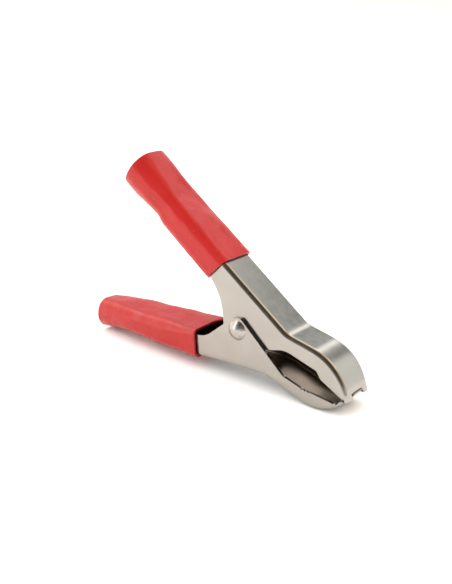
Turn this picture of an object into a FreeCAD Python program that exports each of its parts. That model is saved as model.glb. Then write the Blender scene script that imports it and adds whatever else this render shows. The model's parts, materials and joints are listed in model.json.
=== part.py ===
import FreeCAD, Part
import math
import os

# Spring clip: two sheet-steel channels crossed at a rivet, sprung apart at the
# handles, with a soft sleeve on each handle.  Millimetres.  While modelling, the
# rivet's axis is the origin: +X to the nose, +Y across the clip, +Z up.

# sheet and bends
SHEET = 0.8
INNER_BEND = 0.4
OUTER_BEND = INNER_BEND + SHEET

# channels: the upper lever nests between the plates of the lower one
UPPER_WIDTH = 10.6
PLATE_GAP = 0.1
LOWER_WIDTH = UPPER_WIDTH + 2 * (SHEET + PLATE_GAP)

# rivet
SHANK_RADIUS = 1.5
SHANK_CLEARANCE = 0.05
HEAD_RADIUS = 2.5
TAIL_RADIUS = 2.2
HEAD_HEIGHT = 1.3

# torsion spring: as many turns as fit between the upper lever's plates
WIRE_RADIUS = 0.6
COIL_CLEARANCE = 0.35
COIL_SIDE_CLEARANCE = 0.25
COIL_GAP = 0.12
LEG_LENGTH = 17.0
LEG_CLEARANCE = 0.05

# handles and their wire crimps, as distances along a handle from the rivet's axis
UPPER_HANDLE_ANGLE = 35.0
HANDLE_LENGTH = 36.0
NECK_LENGTH = 2.5
NECK_WIDTH = 3.4
WIRE_HOLE_RADIUS = 1.6
BARREL_LENGTH = 6.0
BARREL_OPENING = 140.0
CRIMP_END = HANDLE_LENGTH + NECK_LENGTH + BARREL_LENGTH

# sleeves: two alike, reaching past the crimps
SLEEVE_WALL = 0.7
SLEEVE_FIT = 0.08
SLEEVE_OVERHANG = 3.6
UPPER_SLEEVE_START = 13.4
LOWER_SLEEVE_START = 12.5
SLEEVE_LENGTH = CRIMP_END + SLEEVE_OVERHANG - UPPER_SLEEVE_START

# jaws
JAW_CLEARANCE = 0.1
NOTCH_WIDTH = 5.1
NOTCH_DEPTH = 1.4
NOTCH_CORNER = 0.8
TOOTH_PITCH = 0.9
TOOTH_DEPTH = 0.35
TOOTH_ROWS = [((26.9, -10.2), (29.4, -9.95)), ((18.6, -9.25), (21.4, -9.55))]

# Distances square to a handle, from the rivet's axis: WEB is the outside of the web,
# EDGE the free edges of the side plates.  ALONG says where on the handle they start.
UPPER_WEB = 9.46
LOWER_WEB = 9.95
LOWER_BEND_ALONG = 9.5
LOWER_BEND_WEB = 10.15
UPPER_EDGE_ALONG = 9.8
UPPER_EDGE_START = 3.65
UPPER_EDGE_END = 4.8
LOWER_EDGE_START = 4.3
LOWER_EDGE_END = 7.0

# nose
PRONG_TIP_Z = -9.6
PRONG_TIP_X = 30.6
TONGUE_TOP_Z = PRONG_TIP_Z + NOTCH_DEPTH - JAW_CLEARANCE
PLATE_CORNER_Z = -9.3
BELLY_RADIUS = 10.3

# Far mouths of the sleeves, inside: open side, web side, half width and corner
# radius.  The lower one's web side is set by the surface that the clip lies on.
UPPER_FAR_SECTION = (2.3, 11.3, 5.6, 4.2)
LOWER_FAR_SECTION = (5.7, 4.5, 3.3)

# how far a sleeve stands off the plates' edges: at its near mouth, at half way and
# at the handle's end
UPPER_SLACKS = (0.45, 0.2, 0.15)
LOWER_SLACKS = (0.6, 0.2, 1.0)
OPEN_CORNER = 0.3


def vec(x, z, y=0.0):
    return FreeCAD.Vector(x, y, z)


def handle_frame(angle, web_up):
    """Directions along a handle, towards its far end, and out through its web."""
    turn = math.radians(angle)
    if web_up:
        return vec(-math.cos(turn), math.sin(turn)), vec(math.sin(turn), math.cos(turn))
    return vec(-math.cos(turn), -math.sin(turn)), vec(math.sin(turn), -math.cos(turn))


UPPER_FRAME = handle_frame(UPPER_HANDLE_ANGLE, True)
LOWER_FRAME = handle_frame(0.0, False)


def on_handle(frame, along, out, radius=0.0):
    """Outline corner at a distance along a handle and a distance out through its web."""
    point = frame[0] * along + frame[1] * out
    return (point.x, point.z, radius)


# web lines, handle end to nose: x, z and corner radius of the outside of the sheet
UPPER_WEB_LINE = [
    on_handle(UPPER_FRAME, HANDLE_LENGTH, UPPER_WEB),
    (13.2, 2.3, 7.0),
    (27.6, -0.7, 13.0),
    (PRONG_TIP_X, PRONG_TIP_Z, 0.0),
]
LOWER_WEB_LINE = [
    on_handle(LOWER_FRAME, HANDLE_LENGTH, LOWER_WEB),
    on_handle(LOWER_FRAME, LOWER_BEND_ALONG, LOWER_BEND_WEB, 20.0),
    (1.5, -9.45, 30.0),
    (8.9, -9.4, 8.0),
    (25.15, -15.03, BELLY_RADIUS),
    (30.2, -9.25, 1.5),
    (PRONG_TIP_X, TONGUE_TOP_Z, 0.0),
]

# free edges of the side plates, nose to handle end
UPPER_PLATE_EDGE = [
    (PRONG_TIP_X - SHEET - 0.1, PRONG_TIP_Z, 0.0),
    (28.9, -8.8, 0.3),
    (23.3, -5.9, 1.0),
    (22.0, -4.1, 0.8),
    (13.2, -1.6, 6.0),
    (3.0, -4.4, 3.0),
    (-4.1, -4.4, 3.8),
    on_handle(UPPER_FRAME, UPPER_EDGE_ALONG, UPPER_EDGE_START, 16.0),
    on_handle(UPPER_FRAME, HANDLE_LENGTH, UPPER_EDGE_END),
]
LOWER_PLATE_EDGE = [
    (PRONG_TIP_X - SHEET, TONGUE_TOP_Z, 0.0),
    (28.6, -10.0, 0.5),
    (27.3, -10.25, 1.0),
    (19.0, -9.3, 8.0),
    (13.6, -7.75, 3.0),
    (0.9, 3.05, 1.2),
    (-1.2, 3.05, 3.0),
    on_handle(LOWER_FRAME, LOWER_BEND_ALONG, LOWER_EDGE_START, 6.0),
    on_handle(LOWER_FRAME, HANDLE_LENGTH, LOWER_EDGE_END),
]


def unit(a, b):
    length = math.hypot(b[0] - a[0], b[1] - a[1])
    return ((b[0] - a[0]) / length, (b[1] - a[1]) / length)


def rounded_edges(points, closed):
    """Lines and tangent arcs through corners given as x, z and radius."""
    count = len(points)
    starts = []
    ends = []
    arcs = []
    for i, (x, z, radius) in enumerate(points):
        if radius == 0.0 or (not closed and i in (0, count - 1)):
            starts.append((x, z))
            ends.append((x, z))
            arcs.append(None)
            continue
        before = unit((x, z), points[i - 1])
        after = unit((x, z), points[(i + 1) % count])
        cosine = before[0] * after[0] + before[1] * after[1]
        half = math.acos(max(-1.0, min(1.0, cosine))) / 2
        reach = radius / math.tan(half)
        bisector = unit((0.0, 0.0), (before[0] + after[0], before[1] + after[1]))
        middle = radius / math.sin(half) - radius
        starts.append((x + before[0] * reach, z + before[1] * reach))
        ends.append((x + after[0] * reach, z + after[1] * reach))
        arcs.append((x + bisector[0] * middle, z + bisector[1] * middle))
    edges = []
    for i in range(count):
        if arcs[i]:
            arc = Part.Arc(vec(*starts[i]), vec(*arcs[i]), vec(*ends[i]))
            edges.append(arc.toShape())
        if i == count - 1 and not closed:
            break
        following = starts[(i + 1) % count]
        if math.dist(ends[i], following) > 1e-6:
            edges.append(Part.LineSegment(vec(*ends[i]), vec(*following)).toShape())
    return edges


def prism(points, width):
    """Closed outline in the side view, drawn out evenly to both sides of Y = 0."""
    face = Part.Face(Part.Wire(rounded_edges(points, True)))
    face.translate(FreeCAD.Vector(0, -width / 2, 0))
    return face.extrude(FreeCAD.Vector(0, width, 0))


def parallel(points, distance):
    """The same open outline moved to its right-hand side by a distance."""
    moved = []
    normals = []
    for a, b in zip(points, points[1:]):
        direction = unit(a, b)
        normals.append((direction[1], -direction[0]))
    for i, (x, z, radius) in enumerate(points):
        before = normals[max(i - 1, 0)]
        after = normals[min(i, len(normals) - 1)]
        share = distance / (1 + before[0] * after[0] + before[1] * after[1])
        turn = before[0] * after[1] - before[1] * after[0]
        new_radius = radius + math.copysign(distance, turn * distance) if radius else 0.0
        shift = ((before[0] + after[0]) * share, (before[1] + after[1]) * share)
        moved.append((x + shift[0], z + shift[1], new_radius))
    return moved


def lengthened(points, distance):
    """The same open outline with both ends carried further on."""
    first = unit(points[1], points[0])
    last = unit(points[-2], points[-1])
    head = (points[0][0] + first[0] * distance, points[0][1] + first[1] * distance, 0.0)
    tail = (points[-1][0] + last[0] * distance, points[-1][1] + last[1] * distance, 0.0)
    return [head] + points[1:-1] + [tail]


def round_along(solid, line, width, radius):
    """Rounds the two long edges of a prism that follow a line."""
    path = Part.Wire(rounded_edges(line, False))
    chosen = []
    for edge in solid.Edges:
        middle = edge.valueAt((edge.FirstParameter + edge.LastParameter) / 2)
        flat = Part.Vertex(middle.x, 0.0, middle.z)
        beside = abs(abs(middle.y) - width / 2) < 1e-4
        if beside and path.distToShape(flat)[0] < 1e-3:
            chosen.append(edge)
    return solid.makeFillet(radius, chosen)


def bent_block(line, width, radius, reach, inward):
    """Block behind a web line that runs on past both ends, its long edges rounded."""
    long_line = lengthened(line, reach)
    far_side = -4 * reach * inward
    closing = [(long_line[-1][0], far_side, 0.0), (long_line[0][0] - reach, far_side, 0.0)]
    return round_along(prism(long_line + closing, width), long_line, width, radius)


def channel(web_line, plate_edge, frame, web, width, inward):
    """Bent sheet: a web along its line and two side plates out to their edge."""
    outer = bent_block(web_line, width, OUTER_BEND, 10.0, inward)
    inner_line = parallel(web_line, SHEET * inward)
    hollow = bent_block(inner_line, width - 2 * SHEET, INNER_BEND, 12.0, inward)
    beyond = [
        on_handle(frame, HANDLE_LENGTH, web + 10),
        (60.0, 60.0 * inward, 0.0),
        (60.0, plate_edge[0][1], 0.0),
    ]
    trim = prism(plate_edge + beyond, width + 2)
    return outer.cut(hollow).common(trim)


def across(radius, width):
    """Cylinder on the rivet's axis."""
    return Part.makeCylinder(radius, width, FreeCAD.Vector(0, -width / 2, 0), FreeCAD.Vector(0, 1, 0))


def wire_crimp(frame, web):
    """Neck and open barrel at a handle's end, which close on the bare wire."""
    outside = WIRE_HOLE_RADIUS + SHEET
    along = frame[0]
    out = frame[1]
    start = along * HANDLE_LENGTH
    neck_corner = start + out * (web - SHEET) - FreeCAD.Vector(0, NECK_WIDTH / 2, 0) - along * SHEET
    neck_face = Part.makePolygon([
        neck_corner,
        neck_corner + FreeCAD.Vector(0, NECK_WIDTH, 0),
        neck_corner + FreeCAD.Vector(0, NECK_WIDTH, 0) + out * SHEET,
        neck_corner + out * SHEET,
        neck_corner,
    ])
    neck = Part.Face(neck_face).extrude(along * (SHEET + NECK_LENGTH + SHEET))
    centre = start + along * NECK_LENGTH + out * (web - outside)
    barrel = Part.makeCylinder(outside, BARREL_LENGTH, centre, along)
    hole = Part.makeCylinder(WIRE_HOLE_RADIUS, BARREL_LENGTH + 2, centre - along, along)
    half = math.radians(BARREL_OPENING / 2)
    above = centre - out * (outside + SHEET)
    side = FreeCAD.Vector(0, (outside + SHEET) * math.tan(half), 0)
    mouth_wire = Part.makePolygon([centre, above + side, above - side, centre])
    mouth = Part.Face(mouth_wire).extrude(along * (BARREL_LENGTH + 2))
    mouth.translate(along * -1)
    return neck.fuse(barrel).cut(hole).cut(mouth).removeSplitter()


def nose_block(low, high, y_inside, y_outside, corner):
    """Block across the nose between two heights, used to trim it."""
    points = [(y_inside, low), (y_outside, low), (y_outside, high), (y_inside, high)]
    corners = [FreeCAD.Vector(PRONG_TIP_X - 3, y, z) for y, z in points]
    block = Part.Face(Part.makePolygon(corners + corners[:1])).extrude(FreeCAD.Vector(8, 0, 0))
    if corner == 0.0:
        return block
    top = [edge for edge in block.Edges if abs(edge.Length - 8) < 1e-6 and edge.CenterOfMass.z > high - 1e-6]
    return block.makeFillet(corner, top)


def teeth(start, end):
    """Row of small vee cuts along a plate edge that runs from one point to another."""
    count = int(math.dist(start, end) / TOOTH_PITCH)
    direction = unit(start, end)
    cuts = []
    for i in range(count):
        x = start[0] + direction[0] * TOOTH_PITCH * (i + 0.5)
        z = start[1] + direction[1] * TOOTH_PITCH * (i + 0.5)
        half = TOOTH_PITCH * 0.32
        corners = [(x - half, z + 0.05, 0.0), (x, z - TOOTH_DEPTH, 0.0), (x + half, z + 0.05, 0.0), (x, z + 1.0, 0.0)]
        cuts.append(prism(corners, LOWER_WIDTH + 1))
    return cuts


def upper_lever():
    """Inner channel: crimp, handle, ears round the rivet and the two-pronged upper jaw."""
    body = channel(UPPER_WEB_LINE, UPPER_PLATE_EDGE, UPPER_FRAME, UPPER_WEB, UPPER_WIDTH, 1)
    notch_top = PRONG_TIP_Z + NOTCH_DEPTH
    half = NOTCH_WIDTH / 2
    body = body.cut(nose_block(PRONG_TIP_Z - 2, notch_top, -half, half, NOTCH_CORNER))
    body = body.cut(across(SHANK_RADIUS + SHANK_CLEARANCE, UPPER_WIDTH + 2))
    return body.fuse(wire_crimp(UPPER_FRAME, UPPER_WEB)).removeSplitter()


def lower_lever():
    """Outer channel: crimp, handle, ears with the rivet's seat and the lower jaw."""
    body = channel(LOWER_WEB_LINE, LOWER_PLATE_EDGE, LOWER_FRAME, LOWER_WEB, LOWER_WIDTH, -1)
    half_tongue = NOTCH_WIDTH / 2 - JAW_CLEARANCE
    half_inside = UPPER_WIDTH / 2 + PLATE_GAP
    shoulder = PRONG_TIP_Z - JAW_CLEARANCE
    seat = nose_block(shoulder, 0.0, -half_inside, half_inside, 0.0)
    corners = nose_block(PLATE_CORNER_Z, 0.0, -LOWER_WIDTH, LOWER_WIDTH, 0.0)
    tongue = nose_block(shoulder - 1, TONGUE_TOP_Z, -half_tongue, half_tongue, NOTCH_CORNER - JAW_CLEARANCE)
    body = body.cut(seat.fuse(corners).cut(tongue))
    for start, end in TOOTH_ROWS:
        for cut in teeth(start, end):
            body = body.cut(cut)
    body = body.cut(across(SHANK_RADIUS, LOWER_WIDTH + 2))
    return body.fuse(wire_crimp(LOWER_FRAME, LOWER_WEB)).removeSplitter()


def rivet_dome(radius, side):
    """Low dome against the outside of the lower lever, on one side of the clip."""
    seat = LOWER_WIDTH / 2
    sphere_radius = (radius ** 2 + HEAD_HEIGHT ** 2) / (2 * HEAD_HEIGHT)
    centre = FreeCAD.Vector(0, side * (seat + HEAD_HEIGHT - sphere_radius), 0)
    outside = Part.makeCylinder(
        2 * radius, 2 * HEAD_HEIGHT, FreeCAD.Vector(0, side * seat, 0), FreeCAD.Vector(0, side, 0)
    )
    return Part.makeSphere(sphere_radius, centre).common(outside)


def pivot_rivet():
    """Shank through both levers, with its head on one side and its tail on the other."""
    shank = across(SHANK_RADIUS, LOWER_WIDTH)
    return shank.fuse(rivet_dome(HEAD_RADIUS, -1)).fuse(rivet_dome(TAIL_RADIUS, 1)).removeSplitter()


def spring_leg(frame, web, coil_radius, turn):
    """Start on the coil and tip near the web of a leg that leaves the coil's front."""
    tip = frame[0] * LEG_LENGTH + frame[1] * (web - SHEET - LEG_CLEARANCE - WIRE_RADIUS)
    bearing = math.atan2(tip.z, tip.x) - turn * math.acos(coil_radius / tip.Length)
    start = vec(coil_radius * math.cos(bearing), coil_radius * math.sin(bearing))
    return start, tip, bearing


def torsion_spring():
    """Close coil round the rivet with a straight leg to the inside of each web."""
    coil_radius = SHANK_RADIUS + COIL_CLEARANCE + WIRE_RADIUS
    upper = spring_leg(UPPER_FRAME, UPPER_WEB, coil_radius, 1)
    lower = spring_leg(LOWER_FRAME, LOWER_WEB, coil_radius, -1)
    pitch = 2 * WIRE_RADIUS + COIL_GAP
    room = UPPER_WIDTH - 2 * (SHEET + COIL_SIDE_CLEARANCE + WIRE_RADIUS)
    part_turn = ((upper[2] - lower[2]) / (2 * math.pi)) % 1
    turns = math.floor(room / pitch - part_turn) + part_turn
    length = pitch * turns
    half_length = FreeCAD.Vector(0, length / 2, 0)
    coil = Part.makeHelix(pitch, length, coil_radius)
    coil.rotate(FreeCAD.Vector(), FreeCAD.Vector(1, 0, 0), -90)
    coil.rotate(FreeCAD.Vector(), FreeCAD.Vector(0, 1, 0), -math.degrees(upper[2]))
    coil.translate(-half_length)
    upper_leg = Part.LineSegment(upper[1] - half_length, upper[0] - half_length).toShape()
    lower_leg = Part.LineSegment(lower[0] + half_length, lower[1] + half_length).toShape()
    path = Part.Wire([upper_leg] + coil.Edges + [lower_leg])
    section = Part.makeCircle(WIRE_RADIUS, upper[1] - half_length, upper[0] - upper[1])
    return path.makePipeShell([Part.Wire(section)], True, True)


def lowest(line):
    """Height of the lowest point of an outline."""
    below = Part.makePlane(400, 400, FreeCAD.Vector(-200, -200, -100))
    gap = Part.Wire(rounded_edges(line, False)).distToShape(below)[0]
    return gap - 100


def tube_section(frame, along, open_side, web_side, half_width, open_radius, web_radius):
    """Rounded rectangle across a handle, for one station of a sleeve."""
    corners = [
        (-half_width, open_side, open_radius),
        (half_width, open_side, open_radius),
        (half_width, web_side, web_radius),
        (-half_width, web_side, web_radius),
    ]
    wire = Part.Wire(rounded_edges(corners, True))
    upright = FreeCAD.Rotation(FreeCAD.Vector(0, 1, 0), FreeCAD.Vector(), frame[1], "XZY")
    wire.Placement = FreeCAD.Placement(frame[0] * along, upright)
    return wire


def sleeve(frame, stations, wall):
    """Tube through the stations, made larger all round by a wall."""
    wires = []
    for along, open_side, web_side, half_width, open_radius, web_radius in stations:
        wires.append(tube_section(
            frame, along, open_side - wall, web_side + wall, half_width + wall,
            open_radius + wall, web_radius + wall,
        ))
    return Part.makeLoft(wires, True, True)


def between(first, second, along):
    """Straight line through two (along, out) points of a handle, at another place."""
    slope = (second[1] - first[1]) / (second[0] - first[0])
    return first[1] + slope * (along - first[0])


def handle_sleeve(frame, start, width, web_line, edge_line, slacks, far_section):
    """Soft tube pressed over a handle: boxy on the channel, rounder past its end."""
    half = width / 2 + SLEEVE_FIT
    bend = OUTER_BEND + SLEEVE_FIT
    middle = (start + HANDLE_LENGTH) / 2
    stations = []
    for along, slack in zip((start, middle, HANDLE_LENGTH), slacks):
        open_side = between(*edge_line, along) - slack
        web_side = between(*web_line, along) + SLEEVE_FIT
        stations.append((along, open_side, web_side, half, OPEN_CORNER, bend))
    far_open, far_web, far_half, far_radius = far_section
    stations.append((start + SLEEVE_LENGTH, far_open, far_web, far_half, far_radius, far_radius))
    return sleeve(frame, stations, SLEEVE_WALL).cut(sleeve(frame, stations, 0.0))


def upper_sleeve():
    web_line = ((0.0, UPPER_WEB), (HANDLE_LENGTH, UPPER_WEB))
    edge_line = ((UPPER_EDGE_ALONG, UPPER_EDGE_START), (HANDLE_LENGTH, UPPER_EDGE_END))
    return handle_sleeve(
        UPPER_FRAME, UPPER_SLEEVE_START, UPPER_WIDTH, web_line, edge_line, UPPER_SLACKS, UPPER_FAR_SECTION
    )


def lower_sleeve():
    web_line = ((LOWER_BEND_ALONG, LOWER_BEND_WEB), (HANDLE_LENGTH, LOWER_WEB))
    edge_line = ((LOWER_BEND_ALONG, LOWER_EDGE_START), (HANDLE_LENGTH, LOWER_EDGE_END))
    rest = -lowest(LOWER_WEB_LINE)
    far_open, far_half, far_radius = LOWER_FAR_SECTION
    far_section = (far_open, rest - SLEEVE_WALL, far_half, far_radius)
    return handle_sleeve(
        LOWER_FRAME, LOWER_SLEEVE_START, LOWER_WIDTH, web_line, edge_line, LOWER_SLACKS, far_section
    )


def main():
    os.makedirs("parts", exist_ok=True)
    nodes = {
        "lower_lever": lower_lever(),
        "upper_lever": upper_lever(),
        "pivot_rivet": pivot_rivet(),
        "torsion_spring": torsion_spring(),
        "lower_sleeve": lower_sleeve(),
        "upper_sleeve": upper_sleeve(),
    }
    box = FreeCAD.BoundBox()
    for shape in nodes.values():
        box.add(shape.optimalBoundingBox())
    origin = FreeCAD.Vector(-box.Center.x, 0, -box.ZMin)
    print("rivet axis at x %.3f z %.3f, size %.2f x %.2f x %.2f" % (
        origin.x, origin.z, box.XLength, box.YLength, box.ZLength))
    for name, shape in nodes.items():
        solid = shape.Solids[0]
        solid.translate(origin)
        solid.exportStep("parts/%s.step" % name)


if __name__ == "__main__":
    main()
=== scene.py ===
import json
import math

import bpy
from mathutils import Euler, Matrix, Vector, noise


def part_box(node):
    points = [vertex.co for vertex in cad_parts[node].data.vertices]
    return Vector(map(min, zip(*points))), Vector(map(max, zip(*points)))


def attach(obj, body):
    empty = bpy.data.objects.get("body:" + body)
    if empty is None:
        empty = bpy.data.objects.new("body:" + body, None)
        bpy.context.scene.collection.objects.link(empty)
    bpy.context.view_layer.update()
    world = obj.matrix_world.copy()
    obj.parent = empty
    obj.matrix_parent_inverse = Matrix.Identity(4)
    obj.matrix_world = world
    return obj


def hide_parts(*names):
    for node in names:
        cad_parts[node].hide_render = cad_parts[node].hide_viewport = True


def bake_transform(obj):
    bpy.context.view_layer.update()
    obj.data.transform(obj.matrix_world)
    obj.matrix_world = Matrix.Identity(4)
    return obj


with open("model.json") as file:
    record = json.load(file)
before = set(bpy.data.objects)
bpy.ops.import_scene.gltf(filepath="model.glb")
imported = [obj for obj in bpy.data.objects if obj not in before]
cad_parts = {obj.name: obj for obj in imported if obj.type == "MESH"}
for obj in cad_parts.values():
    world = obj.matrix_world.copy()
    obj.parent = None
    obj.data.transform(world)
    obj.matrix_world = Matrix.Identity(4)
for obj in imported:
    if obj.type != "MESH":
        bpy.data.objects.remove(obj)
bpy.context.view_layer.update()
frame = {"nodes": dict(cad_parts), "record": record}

# Sleeved spring clip for a test or charging lead.  Metres, in the frame's own axes:
# +X to the nose, +Y across the clip along the rivet, +Z up from the table.

bl_info = {
    "name": "Sleeved spring clip",
    "version": (1, 0, 0),
    "blender": (4, 5, 0),
    "location": "3D View > Sidebar > Clip",
    "description": "Builds a nickel-plated spring clip with red vinyl handle sleeves",
    "category": "Add Mesh",
}

MM = 0.001
PIVOT = Vector(frame["record"]["behaviour"]["joints"][0]["pos_m"])

# slope of the upper handle at rest, and the levers' sheet
UPPER_TURN = math.radians(35.0)
SHEET = 0.8 * MM

# how much rougher the plate is inside the channels, and the straight rim under a rivet dome
DULLER_INSIDE = 0.15
DOME_LIP = 0.08 * MM

# how far over and under the rivet's axis the spring's legs end, square to their handles
UPPER_LEG_RISE = 8.01 * MM
LOWER_LEG_DROP = 8.5 * MM

# cross-sections of a sleeve's outside, in millimetres: distance along the handle from the
# rivet, open side, web side, half width, open-side corner, web-side corner
UPPER_SECTIONS = [
    (13.4, 2.70, 10.40, 6.24, 1.9, 2.2),
    (18.0, 2.65, 10.25, 6.22, 2.1, 2.3),
    (23.0, 2.75, 10.20, 6.22, 2.3, 2.5),
    (28.0, 2.62, 10.20, 6.22, 2.5, 2.6),
    (32.0, 2.55, 10.22, 6.22, 2.7, 2.7),
    (35.8, 3.30, 10.36, 6.20, 2.8, 2.9),
    (40.0, 2.65, 10.90, 6.20, 3.4, 3.6),
    (44.0, 1.80, 11.55, 6.25, 4.1, 4.3),
    (48.2, 1.42, 12.00, 6.30, 4.8, 4.9),
]
LOWER_SECTIONS = [
    (11.7, 3.30, 10.80, 7.06, 1.7, 1.9),
    (18.0, 3.80, 10.75, 7.06, 2.1, 2.0),
    (24.0, 4.15, 10.70, 7.06, 2.4, 2.2),
    (30.0, 4.40, 10.66, 7.0, 2.6, 2.6),
    (36.0, 4.55, 10.75, 6.65, 2.8, 2.8),
    (40.0, 4.70, 11.35, 6.15, 3.2, 3.2),
    (44.0, 4.85, 12.10, 5.7, 3.6, 3.6),
    (47.0, 5.05, 12.75, 5.3, 3.8, 3.8),
]

# how far a sleeve's open and web sides stand out, and its cheeks are drawn in, at their
# middles, and the length at each end over which both fade to nothing, in millimetres
CROWN = 0.40
CHEEK = 0.16
FADE = 9.0

# straight steps in a sleeve's corner arc, and the rounding of its rims
CORNER_STEPS = 12
SLEEVE_RIM = 0.12 * MM

# how a sleeve's mouth and far rim are cut: how much further along per millimetre out
UPPER_CUTS = (-0.11, 0.03)
LOWER_CUTS = (-0.12, -0.13)

# the studio's colours along the room's axes, as (place from -1 to 1, colour); the last
# one is the share of the panels and ceiling in place of the front and the left wall
ROOM_BRIGHTNESS = 2.2
PALE_BACKGROUND = (0.45, 0.45, 0.45)
BACK_PANELS = [
    (-1.0, (0.40, 0.42, 0.42)),
    (-0.50, (0.30, 0.32, 0.32)),
    (-0.27, (0.20, 0.21, 0.21)),
    (-0.13, (1.2, 1.18, 1.13)),
    (-0.01, (0.28, 0.29, 0.28)),
    (0.08, (0.18, 0.19, 0.185)),
    (0.20, (0.18, 0.19, 0.185)),
    (0.30, (0.72, 0.72, 0.69)),
    (0.60, (0.68, 0.68, 0.65)),
    (1.0, (0.35, 0.37, 0.37)),
]
CEILING = [
    (-1.0, (0.0, 0.0, 0.0)),
    (0.60, (0.0, 0.0, 0.0)),
    (0.63, (0.50, 0.48, 0.46)),
    (1.0, (0.40, 0.40, 0.40)),
]
FRONT_TO_BACK = [
    (-1.0, (0.10, 0.098, 0.095)),
    (-0.30, (0.035, 0.030, 0.026)),
    (-0.10, (0.020, 0.016, 0.012)),
    (0.02, (0.75, 0.40, 0.15)),
    (0.20, (0.75, 0.40, 0.15)),
    (0.27, (0.012, 0.010, 0.008)),
    (1.0, (0.020, 0.016, 0.012)),
]
FRONT_LOW = [
    (-1.0, (0.22, 0.22, 0.22)),
    (0.15, (0.22, 0.22, 0.22)),
    (0.33, (0.0, 0.0, 0.0)),
    (1.0, (0.0, 0.0, 0.0)),
]
LEFT_WALL = [
    (-1.0, (0.70, 0.69, 0.67)),
    (-0.70, (0.70, 0.69, 0.67)),
    (-0.62, (1.9, 1.86, 1.80)),
    (-0.50, (1.9, 1.86, 1.80)),
    (-0.40, (0.0, 0.0, 0.0)),
    (1.0, (0.0, 0.0, 0.0)),
]
BEHIND = [
    (-1.0, (0.0, 0.0, 0.0)),
    (0.30, (0.0, 0.0, 0.0)),
    (0.42, (1.0, 1.0, 1.0)),
    (1.0, (1.0, 1.0, 1.0)),
]


# ---------------------------------------------------------------- settings

class ClipMetalSettings(bpy.types.PropertyGroup):
    plate_colour: bpy.props.FloatVectorProperty(
        name="Plate colour", description="Nickel plate of the two levers",
        subtype="COLOR", size=3, min=0.0, max=1.0, default=(0.34, 0.33, 0.307))
    plate_roughness: bpy.props.FloatProperty(
        name="Plate roughness", description="How blurred the levers' reflections are",
        subtype="FACTOR", min=0.0, max=1.0, default=0.2)
    # painted shade: a darker brown plate colour for the faces inside the channels, where shade falls
    inside_shade_colour: bpy.props.FloatVectorProperty(
        name="Inside colour", description="Thin dull plate on the inner faces of the channels",
        subtype="COLOR", size=3, min=0.0, max=1.0, default=(0.23, 0.185, 0.15))
    edge_softness: bpy.props.FloatProperty(
        name="Edge softness", description="Width of the worn edge round the stamped parts",
        unit="LENGTH", min=0.0, default=0.12 * MM)
    rivet_colour: bpy.props.FloatVectorProperty(
        name="Rivet colour", description="Polished nickel of the rivet",
        subtype="COLOR", size=3, min=0.0, max=1.0, default=(0.38, 0.365, 0.34))
    rivet_head: bpy.props.FloatProperty(
        name="Rivet head radius", description="Radius of the domed head",
        unit="LENGTH", min=0.0, default=2.5 * MM)
    rivet_tail: bpy.props.FloatProperty(
        name="Rivet tail radius", description="Radius of the formed tail",
        unit="LENGTH", min=0.0, default=2.2 * MM)
    rivet_shank: bpy.props.FloatProperty(
        name="Rivet shank radius", description="Radius of the shank through both levers",
        unit="LENGTH", min=0.0, default=1.5 * MM)
    rivet_rise: bpy.props.FloatProperty(
        name="Rivet rise", description="How far the head and the tail stand off the plates",
        unit="LENGTH", min=0.0, default=1.3 * MM)
    wire_radius: bpy.props.FloatProperty(
        name="Spring wire radius", description="Half the spring wire's thickness",
        unit="LENGTH", min=0.0, default=0.6 * MM)
    coil_gap: bpy.props.FloatProperty(
        name="Coil gap", description="Space between neighbouring turns",
        unit="LENGTH", min=0.0, default=0.12 * MM)
    coil_radius: bpy.props.FloatProperty(
        name="Coil radius", description="From the rivet's axis to the middle of the wire",
        unit="LENGTH", min=0.0, default=2.45 * MM)
    leg_length: bpy.props.FloatProperty(
        name="Leg reach", description="How far along its handle each leg presses",
        unit="LENGTH", min=0.0, default=17.0 * MM)


class ClipSleeveSettings(bpy.types.PropertyGroup):
    colour: bpy.props.FloatVectorProperty(
        name="Sleeve colour", description="Soft vinyl of the handle sleeves",
        subtype="COLOR", size=3, min=0.0, max=1.0, default=(0.36, 0.009, 0.008))
    wall: bpy.props.FloatProperty(
        name="Wall", description="Thickness of the sleeves' wall",
        unit="LENGTH", min=0.0, default=0.66 * MM)
    unevenness: bpy.props.FloatProperty(
        name="Unevenness", description="Height of the soft waves in the sleeves' surface",
        unit="LENGTH", min=0.0, default=0.22 * MM)


class ClipStageSettings(bpy.types.PropertyGroup):
    view_azimuth: bpy.props.FloatProperty(
        name="View azimuth", description="Turn of the camera round the clip",
        unit="ROTATION", default=math.radians(35.993))
    view_elevation: bpy.props.FloatProperty(
        name="View elevation", description="Height of the camera over the table, as an angle",
        unit="ROTATION", default=math.radians(19.738))
    view_roll: bpy.props.FloatProperty(
        name="View roll", description="Turn of the camera about its own line of sight",
        unit="ROTATION", default=math.radians(2.7515))
    view_distance: bpy.props.FloatProperty(
        name="View distance", description="From the camera to the rivet's head, along the line of sight",
        unit="LENGTH", default=213.57 * MM)
    rivet_right: bpy.props.FloatProperty(
        name="Rivet to the right", description="How far right of the view's middle the rivet lies",
        unit="LENGTH", default=2.634 * MM)
    rivet_down: bpy.props.FloatProperty(
        name="Rivet below", description="How far below the view's middle the rivet lies",
        unit="LENGTH", default=9.170 * MM)
    lens: bpy.props.FloatProperty(
        name="Lens", description="Focal length of the camera in millimetres",
        subtype="DISTANCE_CAMERA", default=54.99)


# ---------------------------------------------------------------- modelling helpers

def start_piece(name):
    """Renames and returns the primitive that was just added."""
    piece = bpy.context.active_object
    piece.name = name
    piece.data.name = name
    return piece


def deselect_all():
    """Object mode with nothing selected."""
    if bpy.context.mode != "OBJECT":
        bpy.ops.object.mode_set(mode="OBJECT")
    bpy.ops.object.select_all(action="DESELECT")


def select_only(piece):
    """Object mode with one piece selected and active."""
    deselect_all()
    piece.select_set(True)
    bpy.context.view_layer.objects.active = piece


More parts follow.
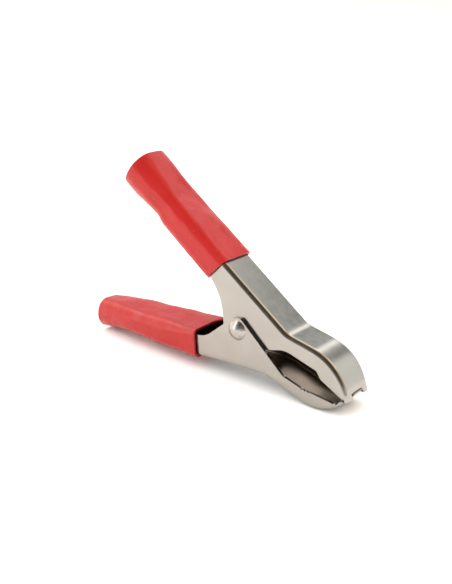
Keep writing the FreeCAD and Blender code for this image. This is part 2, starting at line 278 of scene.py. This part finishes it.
def edit_all(piece):
    """Edit mode with the whole mesh selected."""
    select_only(piece)
    bpy.ops.object.mode_set(mode="EDIT")
    bpy.ops.mesh.select_all(action="SELECT")


def select_vertices(piece, chosen):
    """Leaves selected, in edit mode, the vertices whose place passes a test."""
    bpy.ops.object.mode_set(mode="EDIT")
    bpy.ops.mesh.select_all(action="DESELECT")
    bpy.ops.mesh.select_mode(type="VERT")
    bpy.ops.object.mode_set(mode="OBJECT")
    for vertex in piece.data.vertices:
        vertex.select = chosen(vertex.co)
    bpy.ops.object.mode_set(mode="EDIT")


def close_mesh(piece, distance=1e-6):
    """Merges doubled vertices and turns all faces outwards."""
    edit_all(piece)
    bpy.ops.mesh.remove_doubles(threshold=distance)
    bpy.ops.mesh.normals_make_consistent(inside=False)
    bpy.ops.object.mode_set(mode="OBJECT")


def apply_modifier(piece, kind, **values):
    """Adds one modifier with its values and applies it."""
    select_only(piece)
    bpy.ops.object.modifier_add(type=kind)
    modifier = piece.modifiers[-1]
    for name, value in values.items():
        setattr(modifier, name, value)
    bpy.ops.object.modifier_apply(modifier=modifier.name)


def smooth(piece, degrees):
    """Shades smooth across edges flatter than an angle."""
    select_only(piece)
    bpy.ops.object.shade_smooth_by_angle(angle=math.radians(degrees))


def place(piece, turn, where):
    """Turns and moves a piece that was modelled at the origin, and applies both."""
    select_only(piece)
    piece.rotation_euler = turn
    piece.location = where
    bpy.ops.object.transform_apply(location=True, rotation=True, scale=True)


def finish_piece(piece, material, slot, body, *nodes):
    """Gives a piece its material, hides the CAD nodes it stands for and puts it on the body it rides;
    the slot is not used.
    """
    piece.data.materials.clear()
    piece.data.materials.append(material)
    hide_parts(*nodes)
    if body:
        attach(piece, body)


# ---------------------------------------------------------------- materials

class Finish:
    """A material under construction: its nodes, links and Principled shader."""

    def __init__(self, name):
        self.material = bpy.data.materials.new(name)
        self.material.use_nodes = True
        self.nodes = self.material.node_tree.nodes
        self.links = self.material.node_tree.links
        self.shader = self.nodes["Principled BSDF"]
        self.place = self.nodes.new("ShaderNodeTexCoord").outputs["Object"]

    def set(self, **values):
        """Sets shader inputs by name, with underscores for spaces."""
        for name, value in values.items():
            self.shader.inputs[name.replace("_", " ")].default_value = value

    def noise(self, size, detail, roughness=0.5):
        """Noise whose blotches are about a size across, in metres."""
        texture = self.nodes.new("ShaderNodeTexNoise")
        texture.inputs["Scale"].default_value = 1.0 / size
        texture.inputs["Detail"].default_value = detail
        texture.inputs["Roughness"].default_value = roughness
        self.links.new(self.place, texture.inputs["Vector"])
        return texture.outputs["Fac"]

    def spread(self, value, low, high, to_low, to_high):
        """A value's range stretched onto another range."""
        node = self.nodes.new("ShaderNodeMapRange")
        ends = {"From Min": low, "From Max": high, "To Min": to_low, "To Max": to_high}
        for socket, number in ends.items():
            node.inputs[socket].default_value = number
        self.links.new(value, node.inputs["Value"])
        return node.outputs["Result"]

    def mix(self, share, first, second):
        """Colour between two, by a share."""
        node = self.nodes.new("ShaderNodeMix")
        node.data_type = "RGBA"
        self.links.new(share, node.inputs["Factor"])
        for socket, colour in ((node.inputs[6], first), (node.inputs[7], second)):
            socket.default_value = (*colour, 1.0)
        return node.outputs[2]

    def bump(self, height, depth, strength, below=None):
        """Surface relief of a depth, over the relief below it when there is one."""
        node = self.nodes.new("ShaderNodeBump")
        node.inputs["Distance"].default_value = depth
        node.inputs["Strength"].default_value = strength
        self.links.new(height, node.inputs["Height"])
        if below:
            self.links.new(below, node.inputs["Normal"])
        return node.outputs["Normal"]

    def drive(self, socket, name):
        """Links a node's output to a shader input."""
        self.links.new(socket, self.shader.inputs[name])


def shade(colour, factor):
    """A colour made lighter or darker."""
    return tuple(min(1.0, channel * factor) for channel in colour)


def nickel_plate(name, colour, roughness):
    """Satin nickel on rolled steel sheet: cloudy, finely speckled, lightly scuffed."""
    finish = Finish(name)
    finish.set(Metallic=1.0)
    clouds = finish.noise(6 * MM, 4.0)
    tint = finish.spread(clouds, 0.35, 0.65, 0.0, 1.0)
    finish.drive(finish.mix(tint, shade(colour, 0.96), shade(colour, 1.03)), "Base Color")
    speckle = finish.noise(0.22 * MM, 2.0, 0.6)
    blotch = finish.noise(1.5 * MM, 3.0)
    rough = finish.spread(blotch, 0.3, 0.7, roughness - 0.02, roughness + 0.03)
    finish.drive(rough, "Roughness")
    grain = finish.bump(speckle, 0.002 * MM, 0.4)
    rolling = finish.noise(4 * MM, 2.0, 0.5)
    finish.drive(finish.bump(rolling, 0.006 * MM, 0.12, grain), "Normal")
    return finish.material


def bright_nickel(colour):
    """Polished nickel of the rivet, with faint marks from the setting tool."""
    finish = Finish("bright_nickel")
    finish.set(Metallic=1.0)
    stains = finish.spread(finish.noise(1.2 * MM, 4.0), 0.35, 0.65, 0.0, 1.0)
    finish.drive(finish.mix(stains, shade(colour, 0.95), shade(colour, 1.08)), "Base Color")
    finish.drive(finish.spread(finish.noise(0.6 * MM, 3.0), 0.3, 0.7, 0.26, 0.36), "Roughness")
    finish.drive(finish.bump(finish.noise(0.5 * MM, 2.0), 0.01 * MM, 0.4), "Normal")
    return finish.material


def drawn_steel():
    """Spring wire: grey drawn steel with a trace of oil."""
    finish = Finish("drawn_steel")
    finish.set(Metallic=1.0)
    patches = finish.spread(finish.noise(1.5 * MM, 4.0), 0.3, 0.7, 0.0, 1.0)
    finish.drive(finish.mix(patches, (0.34, 0.33, 0.32), (0.5, 0.49, 0.47)), "Base Color")
    finish.drive(finish.spread(finish.noise(0.4 * MM, 3.0), 0.3, 0.7, 0.25, 0.38), "Roughness")
    finish.drive(finish.bump(finish.noise(0.12 * MM, 2.0), 0.006 * MM, 0.5), "Normal")
    return finish.material


def soft_vinyl(colour):
    """Moulded soft vinyl: satin, faintly pebbled, slightly paler where it is rubbed."""
    finish = Finish("soft_vinyl")
    finish.set(Specular_IOR_Level=0.34)
    rubbed = finish.spread(finish.noise(9 * MM, 1.0), 0.2, 0.8, 0.0, 1.0)
    paler = (colour[0] * 1.05, colour[1] * 1.4, colour[2] * 1.4)
    finish.drive(finish.mix(rubbed, shade(colour, 0.93), paler), "Base Color")
    finish.drive(finish.spread(finish.noise(4 * MM, 1.0), 0.2, 0.8, 0.18, 0.32), "Roughness")
    pebble = finish.bump(finish.noise(0.35 * MM, 2.0), 0.012 * MM, 0.5)
    finish.drive(finish.bump(finish.noise(2.2 * MM, 1.0), 0.06 * MM, 0.6, pebble), "Normal")
    return finish.material


def pale_table():
    """Matt white table top, faintly uneven in tone."""
    finish = Finish("pale_table")
    finish.set(Roughness=0.7, Specular_IOR_Level=0.2)
    fibres = finish.spread(finish.noise(30 * MM, 3.0), 0.3, 0.7, 0.0, 1.0)
    finish.drive(finish.mix(fibres, (0.93, 0.93, 0.93), (0.95, 0.95, 0.95)), "Base Color")
    return finish.material


# ---------------------------------------------------------------- stage

class CLIP_OT_stage(bpy.types.Operator):
    """Camera, pale table, studio surroundings and soft lights"""
    bl_idname = "clip.stage"
    bl_label = "Stage"

    def execute(self, context):
        settings = context.scene.clip_stage
        context.scene.view_settings.view_transform = "Standard"
        self.camera(settings)
        self.table()
        self.surroundings()
        self.softbox("overhead_softbox", Vector((0.1, -0.15, 1.0)), size=4.0, power=48.0)
        self.softbox("front_softbox", Vector((-0.25, -1.15, 0.9)), size=1.6, power=5.0)
        return {"FINISHED"}

    def camera(self, settings):
        """Camera that looks down on the rivet's head from the nose's side."""
        deselect_all()
        level = Euler((math.pi / 2 - settings.view_elevation, 0.0, settings.view_azimuth)).to_matrix()
        turn = level @ Matrix.Rotation(settings.view_roll, 3, "Z")
        rivet_face = Vector((PIVOT.x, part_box("lower_lever")[0].y, PIVOT.z))
        offset = Vector((-settings.rivet_right, settings.rivet_down, settings.view_distance))
        bpy.ops.object.camera_add(location=rivet_face + turn @ offset, rotation=turn.to_euler())
        camera = bpy.context.active_object
        camera.data.lens = settings.lens
        camera.data.clip_start = 0.01
        bpy.context.scene.camera = camera

    def table(self):
        """Table top that reaches far past the clip, 30 m on a side."""
        deselect_all()
        bpy.ops.mesh.primitive_plane_add(size=30.0)
        table = start_piece("table")
        table.data.materials.append(pale_table())

    def softbox(self, name, offset, size, power):
        """Square light that faces the rivet and doesn't show in reflections."""
        deselect_all()
        turn = offset.to_track_quat("Z", "Y").to_euler()
        bpy.ops.object.light_add(type="AREA", location=PIVOT + offset, rotation=turn)
        lamp = bpy.context.active_object
        lamp.name = name
        lamp.data.shape = "SQUARE"
        lamp.data.size = size
        lamp.data.energy = power
        lamp.visible_glossy = False

    def surroundings(self):
        """Studio round the clip: dim in front, panels of light behind and on the left.

        The camera itself sees a plain pale background in its place.
        """
        world = bpy.data.worlds.new("studio")
        world.use_nodes = True
        bpy.context.scene.world = world
        nodes = world.node_tree.nodes
        links = world.node_tree.links
        coordinates = nodes.new("ShaderNodeTexCoord")
        axes = nodes.new("ShaderNodeSeparateXYZ")
        links.new(coordinates.outputs["Generated"], axes.inputs["Vector"])

        def ramp(axis, stops):
            """Colours along one axis of the room, from -1 on one side to 1 on the other."""
            scaled = nodes.new("ShaderNodeMapRange")
            scaled.inputs["From Min"].default_value = -1.0
            links.new(axes.outputs[axis], scaled.inputs["Value"])
            node = nodes.new("ShaderNodeValToRGB")
            node.color_ramp.interpolation = "EASE"
            links.new(scaled.outputs["Result"], node.inputs["Fac"])
            elements = node.color_ramp.elements
            for position, colour in stops[1:-1]:
                elements.new((position + 1) / 2).color = (*colour, 1.0)
            elements[0].color = (*stops[0][1], 1.0)
            elements[-1].color = (*stops[-1][1], 1.0)
            return node.outputs["Color"]

        def mixed(share, first, second, kind="MIX"):
            """Two colours mixed or added, by a number or a socket."""
            node = nodes.new("ShaderNodeMix")
            node.data_type = "RGBA"
            node.blend_type = kind
            if isinstance(share, float):
                node.inputs["Factor"].default_value = share
            else:
                links.new(share, node.inputs["Factor"])
            links.new(first, node.inputs[6])
            links.new(second, node.inputs[7])
            return node.outputs[2]

        panels = ramp("X", BACK_PANELS)
        ceiling = ramp("Z", CEILING)
        front = ramp("Y", FRONT_TO_BACK)
        left = ramp("X", LEFT_WALL)
        behind = ramp("Y", BEHIND)
        back = mixed(1.0, panels, ceiling, "ADD")
        low = ramp("Z", FRONT_LOW)
        room = mixed(1.0, mixed(1.0, front, low, "ADD"), left, "ADD")
        studio = mixed(behind, room, back)
        seen = nodes.new("ShaderNodeLightPath").outputs["Is Camera Ray"]
        pale = nodes.new("ShaderNodeRGB").outputs["Color"]
        pale.default_value = (*PALE_BACKGROUND, 1.0)
        links.new(mixed(seen, studio, pale), nodes["Background"].inputs["Color"])
        nodes["Background"].inputs["Strength"].default_value = ROOM_BRIGHTNESS


# ---------------------------------------------------------------- stamped levers

class CLIP_OT_levers(bpy.types.Operator):
    """The two folded levers, with worn edges and smooth bends"""
    bl_idname = "clip.levers"
    bl_label = "Levers"

    def execute(self, context):
        settings = context.scene.clip_metal
        plate = nickel_plate("nickel_plate", settings.plate_colour, settings.plate_roughness)
        duller = settings.plate_roughness + DULLER_INSIDE
        # second finish: rougher plate, painted darker brown as the shade inside the channels
        inside = nickel_plate("shaded_inside", settings.inside_shade_colour, duller)
        for node, body in (("lower_lever", "lower_handle"), ("upper_lever", "upper_handle")):
            piece = self.stamped(node, node + "_plated", settings.edge_softness)
            finish_piece(piece, plate, "nickel_plated_steel", body, node)
            piece.data.materials.append(inside)
            self.mark_inside(piece, node)
        return {"FINISHED"}

    def stamped(self, node, name, softness):
        """Copy of a CAD lever with its triangles merged and its edges worn."""
        deselect_all()
        piece = bpy.data.objects.new(name, frame["nodes"][node].data.copy())
        bpy.context.collection.objects.link(piece)
        close_mesh(piece)
        edit_all(piece)
        bpy.ops.mesh.dissolve_limited(angle_limit=math.radians(0.3))
        bpy.ops.object.mode_set(mode="OBJECT")
        apply_modifier(piece, "BEVEL", width=softness, segments=2, limit_method="ANGLE",
                       angle_limit=math.radians(40.0), use_clamp_overlap=True)
        smooth(piece, 35.0)
        apply_modifier(piece, "WEIGHTED_NORMAL", keep_sharp=True)
        return piece

    def mark_inside(self, piece, node):
        """Gives the second finish, rougher and painted darker brown as shade, to the faces that look
        into the folded channel.

        Those are the side plates' faces that point at the middle, and the web's faces
        between the plates that point against the web's outward direction.
        """
        inner_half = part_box(node)[1].y - SHEET
        outward = {"lower_lever": Vector((0.0, 0.0, -1.0)), "upper_lever": Vector((0.3, 0.0, 1.0))}
        for face in piece.data.polygons:
            y = face.center.y
            faces_in = face.normal.y * y < -0.8 * abs(y)
            under_web = abs(y) < inner_half - 0.1 * MM and face.normal.dot(outward[node]) < -0.2
            face.material_index = int(faces_in or under_web)


# ---------------------------------------------------------------- rivet

class CLIP_OT_rivet(bpy.types.Operator):
    """Rivet with a domed head and a formed tail"""
    bl_idname = "clip.rivet"
    bl_label = "Rivet"

    def execute(self, context):
        settings = context.scene.clip_metal
        deselect_all()
        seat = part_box("pivot_rivet")[1].y - PIVOT.y - settings.rivet_rise
        bpy.ops.mesh.primitive_cylinder_add(
            vertices=64, radius=settings.rivet_shank, depth=2 * seat, rotation=(math.pi / 2, 0.0, 0.0))
        piece = start_piece("rivet_set")
        bpy.ops.object.transform_apply(rotation=True)
        for side, radius in ((-1, settings.rivet_head), (1, settings.rivet_tail)):
            self.dome(piece, side, radius, seat, settings.rivet_shank, settings.rivet_rise)
        close_mesh(piece)
        smooth(piece, 40.0)
        place(piece, (0.0, 0.0, 0.0), PIVOT)
        nickel = bright_nickel(settings.rivet_colour)
        finish_piece(piece, nickel, "rivet_steel", "lower_handle", "pivot_rivet")
        return {"FINISHED"}

    def dome(self, piece, side, radius, seat, shank, rise, rings=14):
        """Widens one end of the shank and draws it out into a dome, ring by ring."""
        select_vertices(piece, lambda place: abs(place.y - side * seat) < 1e-6)
        centre = (0.0, side * seat, 0.0)
        bpy.ops.mesh.extrude_region_move(TRANSFORM_OT_translate={"value": (0.0, 0.0, 0.0)})
        bpy.ops.transform.resize(value=(radius / shank, 1.0, radius / shank), center_override=centre)
        sphere = (radius ** 2 + rise ** 2) / (2 * rise)
        width = radius
        height = 0.0
        for ring in range(rings + 1):
            share = ring / (rings + 1)
            new_height = DOME_LIP + (rise - DOME_LIP) * math.sin(share * math.pi / 2)
            new_width = math.sqrt(max(sphere ** 2 - (sphere - rise + new_height) ** 2, 0.0))
            step = {"value": (0.0, side * (new_height - height), 0.0)}
            bpy.ops.mesh.extrude_region_move(TRANSFORM_OT_translate=step)
            at = (0.0, side * (seat + new_height), 0.0)
            narrowing = new_width / width
            bpy.ops.transform.resize(value=(narrowing, 1.0, narrowing), center_override=at)
            width = new_width
            height = new_height
        bpy.ops.object.mode_set(mode="OBJECT")


# ---------------------------------------------------------------- spring

class CLIP_OT_spring(bpy.types.Operator):
    """Torsion spring coiled round the rivet, with one leg to each handle"""
    bl_idname = "clip.spring"
    bl_label = "Spring"

    def execute(self, context):
        settings = context.scene.clip_metal
        low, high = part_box("torsion_spring")
        wire = settings.wire_radius
        length = high.y - low.y - 2 * wire
        pitch = 2 * wire + settings.coil_gap
        turns = length / pitch
        reach = settings.leg_length
        upper_tip = Vector((-math.cos(UPPER_TURN) * reach, 0.0, math.sin(UPPER_TURN) * reach))
        upper_tip += Vector((math.sin(UPPER_TURN), 0.0, math.cos(UPPER_TURN))) * UPPER_LEG_RISE
        lower_tip = Vector((-reach, 0.0, -LOWER_LEG_DROP))
        radius = settings.coil_radius
        start = self.leaving(upper_tip, radius)
        deselect_all()
        beside = (radius, -length / 2, 0.0)
        bpy.ops.mesh.primitive_circle_add(vertices=20, radius=wire, location=beside)
        piece = start_piece("wound_spring")
        bpy.ops.object.transform_apply(location=True)
        steps = int(36 * turns)
        apply_modifier(piece, "SCREW", axis="Y", angle=2 * math.pi * turns, screw_offset=length,
                       iterations=1, steps=steps, render_steps=steps, use_smooth_shade=True)
        piece.rotation_euler = (0.0, -start, 0.0)
        bpy.ops.object.transform_apply(rotation=True)
        self.leg(piece, -1, upper_tip)
        self.leg(piece, 1, lower_tip)
        close_mesh(piece)
        smooth(piece, 50.0)
        place(piece, (0.0, 0.0, 0.0), PIVOT)
        finish_piece(piece, drawn_steel(), "spring_wire", None, "torsion_spring")
        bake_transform(piece)
        return {"FINISHED"}

    def leaving(self, tip, radius):
        """Bearing, seen from the side, of the point where a straight leg leaves the coil."""
        return math.atan2(tip.z, tip.x) - math.acos(radius / math.hypot(tip.x, tip.z))

    def leg(self, piece, side, tip):
        """Draws the coil's open end on one side of the clip out to a leg's tip."""
        ring = self.open_end(piece, side)
        middle = sum(ring, Vector()) / len(ring)
        bpy.ops.mesh.extrude_region_move(
            TRANSFORM_OT_translate={"value": (tip.x - middle.x, 0.0, tip.z - middle.z)})
        bpy.ops.mesh.edge_face_add()
        bpy.ops.object.mode_set(mode="OBJECT")

    def open_end(self, piece, side):
        """Selects the coil's open ring on one side of the clip and returns its places."""
        select_only(piece)
        bpy.ops.object.mode_set(mode="EDIT")
        bpy.ops.mesh.select_mode(type="EDGE")
        bpy.ops.mesh.select_all(action="DESELECT")
        bpy.ops.mesh.select_non_manifold(extend=False, use_wire=False, use_multi_face=False,
                                         use_non_contiguous=False, use_verts=False)
        bpy.ops.object.mode_set(mode="OBJECT")
        mesh = piece.data
        for edge in mesh.edges:
            if edge.select and side * mesh.vertices[edge.vertices[0]].co.y < 0:
                edge.select = False
        for vertex in mesh.vertices:
            vertex.select = vertex.select and side * vertex.co.y > 0
        chosen = [vertex.co.copy() for vertex in mesh.vertices if vertex.select]
        for polygon in mesh.polygons:
            polygon.select = False
        bpy.ops.object.mode_set(mode="EDIT")
        return chosen


# ---------------------------------------------------------------- sleeves

def section_between(sections, along):
    """Smoothly blended cross-section at a distance along a handle."""
    places = [section[0] for section in sections]
    index = max(0, min(len(sections) - 2, sum(place <= along for place in places) - 1))
    before = sections[max(index - 1, 0)]
    first = sections[index]
    second = sections[index + 1]
    after = sections[min(index + 2, len(sections) - 1)]
    share = (along - first[0]) / (second[0] - first[0])
    blended = []
    for p0, p1, p2, p3 in zip(before[1:], first[1:], second[1:], after[1:]):
        bend = 2 * p0 - 5 * p1 + 4 * p2 - p3
        twist = -p0 + 3 * p1 - 3 * p2 + p3
        blended.append(0.5 * (2 * p1 + (p2 - p0) * share + bend * share ** 2 + twist * share ** 3))
    return blended


def round_section(section, swelling, count):
    """Points spaced evenly round a soft rounded rectangle, from the middle of its open side."""
    open_side, web_side, half, open_corner, web_corner = section
    depth = web_side - open_side
    # the corners shrink alike where they would otherwise meet
    fit = min(1.0, 0.97 * depth / (open_corner + web_corner))
    open_corner *= fit
    web_corner *= fit
    corners = [
        (half - open_corner, open_side + open_corner, open_corner, -90),
        (half - web_corner, web_side - web_corner, web_corner, 0),
        (-half + web_corner, web_side - web_corner, web_corner, 90),
        (-half + open_corner, open_side + open_corner, open_corner, 180),
    ]
    outline = [Vector((0.0, open_side))]
    for y, z, radius, bearing in corners:
        for step in range(CORNER_STEPS + 1):
            angle = math.radians(bearing + 90 * step / CORNER_STEPS)
            outline.append(Vector((y + radius * math.cos(angle), z + radius * math.sin(angle))))
    outline.append(outline[0])
    ring = []
    for y, z in even_points(outline, count):
        up = (z - open_side) / depth
        crown = CROWN * swelling * (1 - (y / half) ** 2) * (2 * up - 1)
        cheek = CHEEK * swelling * math.sin(math.pi * up) * y / half
        ring.append((y - cheek, z + crown))
    return ring


def even_points(outline, count):
    """Points at equal distances along an outline."""
    reached = [0.0]
    for start, end in zip(outline, outline[1:]):
        reached.append(reached[-1] + (end - start).length)
    points = []
    index = 0
    for step in range(count):
        target = reached[-1] * step / count
        while reached[index + 1] < target:
            index += 1
        share = (target - reached[index]) / (reached[index + 1] - reached[index])
        points.append(outline[index].lerp(outline[index + 1], share))
    return points


class CLIP_OT_sleeves(bpy.types.Operator):
    """The two soft vinyl sleeves, boxy on the handles and round at their far ends"""
    bl_idname = "clip.sleeves"
    bl_label = "Sleeves"

    def execute(self, context):
        settings = context.scene.clip_sleeve
        vinyl = soft_vinyl(settings.colour)
        upper_turn = (0.0, UPPER_TURN, 0.0)
        lower_turn = (math.pi, 0.0, 0.0)
        for name, sections, cuts, turn, body, seed in (
            ("upper_sleeve", UPPER_SECTIONS, UPPER_CUTS, upper_turn, "upper_handle", 3.0),
            ("lower_sleeve", LOWER_SECTIONS, LOWER_CUTS, lower_turn, "lower_handle", 9.0),
        ):
            piece = self.tube(name + "_vinyl", sections, cuts, settings, seed)
            place(piece, turn, PIVOT)
            finish_piece(piece, vinyl, "red_sleeve", body, name)
        return {"FINISHED"}

    def tube(self, name, sections, cuts, settings, seed, lengthwise=110, round_count=120):
        """Wraps a grid round the handle's sections and gives it a wall and soft rims.

        The grid's rows run along the handle and its columns round it, and its two side
        edges meet and are merged.
        """
        deselect_all()
        bpy.ops.mesh.primitive_grid_add(x_subdivisions=round_count, y_subdivisions=lengthwise, size=1.0)
        piece = start_piece(name)
        start = sections[0][0]
        length = sections[-1][0] - start
        web_side = sections[0][2]
        rings = []
        for row in range(lengthwise + 1):
            reached = length * row / lengthwise
            swelling = min(1.0, reached / FADE, (length - reached) / FADE)
            section = section_between(sections, start + reached)
            rings.append(round_section(section, swelling, round_count))
        for vertex in piece.data.vertices:
            share = vertex.co.y + 0.5
            row = round(share * lengthwise)
            column = round((vertex.co.x + 0.5) * round_count) % round_count
            y, z = rings[row][column]
            along = start + share * length
            along += (z - web_side) * (cuts[0] * (1 - share) ** 4 + cuts[1] * share ** 4)
            vertex.co = Vector((-along, y, z)) * MM
        close_mesh(piece, 1e-7)
        self.soften(piece, settings, seed)
        apply_modifier(piece, "SOLIDIFY", thickness=settings.wall, offset=-1.0,
                       use_even_offset=False)
        apply_modifier(piece, "BEVEL", width=SLEEVE_RIM, segments=2, limit_method="ANGLE",
                       angle_limit=math.radians(50.0))
        smooth(piece, 50.0)
        return piece

    def soften(self, piece, settings, seed):
        """Long soft waves along the tube, and shorter fainter ones over them."""
        for vertex in piece.data.vertices:
            place = vertex.co / MM
            long_place = Vector((place.x / 9, place.y / 5, place.z / 5 + seed))
            short_place = Vector((place.x / 3, place.y / 2.5, place.z / 2.5 - seed))
            wave = noise.noise(long_place, noise_basis="PERLIN_NEW")
            ripple = noise.noise(short_place, noise_basis="PERLIN_NEW")
            height = (wave + 0.35 * ripple) * settings.unevenness
            vertex.co = vertex.co + vertex.normal * height


# ---------------------------------------------------------------- add-on

class CLIP_PT_panel(bpy.types.Panel):
    """Lists the steps that build the clip"""
    bl_idname = "CLIP_PT_panel"
    bl_label = "Spring clip"
    bl_space_type = "VIEW_3D"
    bl_region_type = "UI"
    bl_category = "Clip"

    def draw(self, context):
        for operator in STEPS:
            self.layout.operator(operator.bl_idname)
        for group in (context.scene.clip_metal, context.scene.clip_sleeve, context.scene.clip_stage):
            for name in group.bl_rna.properties.keys():
                if name not in ("rna_type", "name"):
                    self.layout.prop(group, name)


STEPS = (CLIP_OT_stage, CLIP_OT_levers, CLIP_OT_rivet, CLIP_OT_spring, CLIP_OT_sleeves)
SETTINGS = {
    "clip_metal": ClipMetalSettings,
    "clip_sleeve": ClipSleeveSettings,
    "clip_stage": ClipStageSettings,
}
CLASSES = (*SETTINGS.values(), *STEPS, CLIP_PT_panel)


def register():
    """Makes the clip's settings, steps and panel known to Blender."""
    for item in CLASSES:
        bpy.utils.register_class(item)
    for name, group in SETTINGS.items():
        setattr(bpy.types.Scene, name, bpy.props.PointerProperty(type=group))


def unregister():
    """Takes them away again."""
    for name in SETTINGS:
        delattr(bpy.types.Scene, name)
    for item in reversed(CLASSES):
        bpy.utils.unregister_class(item)


def main():
    register()
    bpy.ops.clip.stage()
    bpy.ops.clip.levers()
    bpy.ops.clip.rivet()
    bpy.ops.clip.spring()
    bpy.ops.clip.sleeves()


if __name__ == "__main__":
    main()
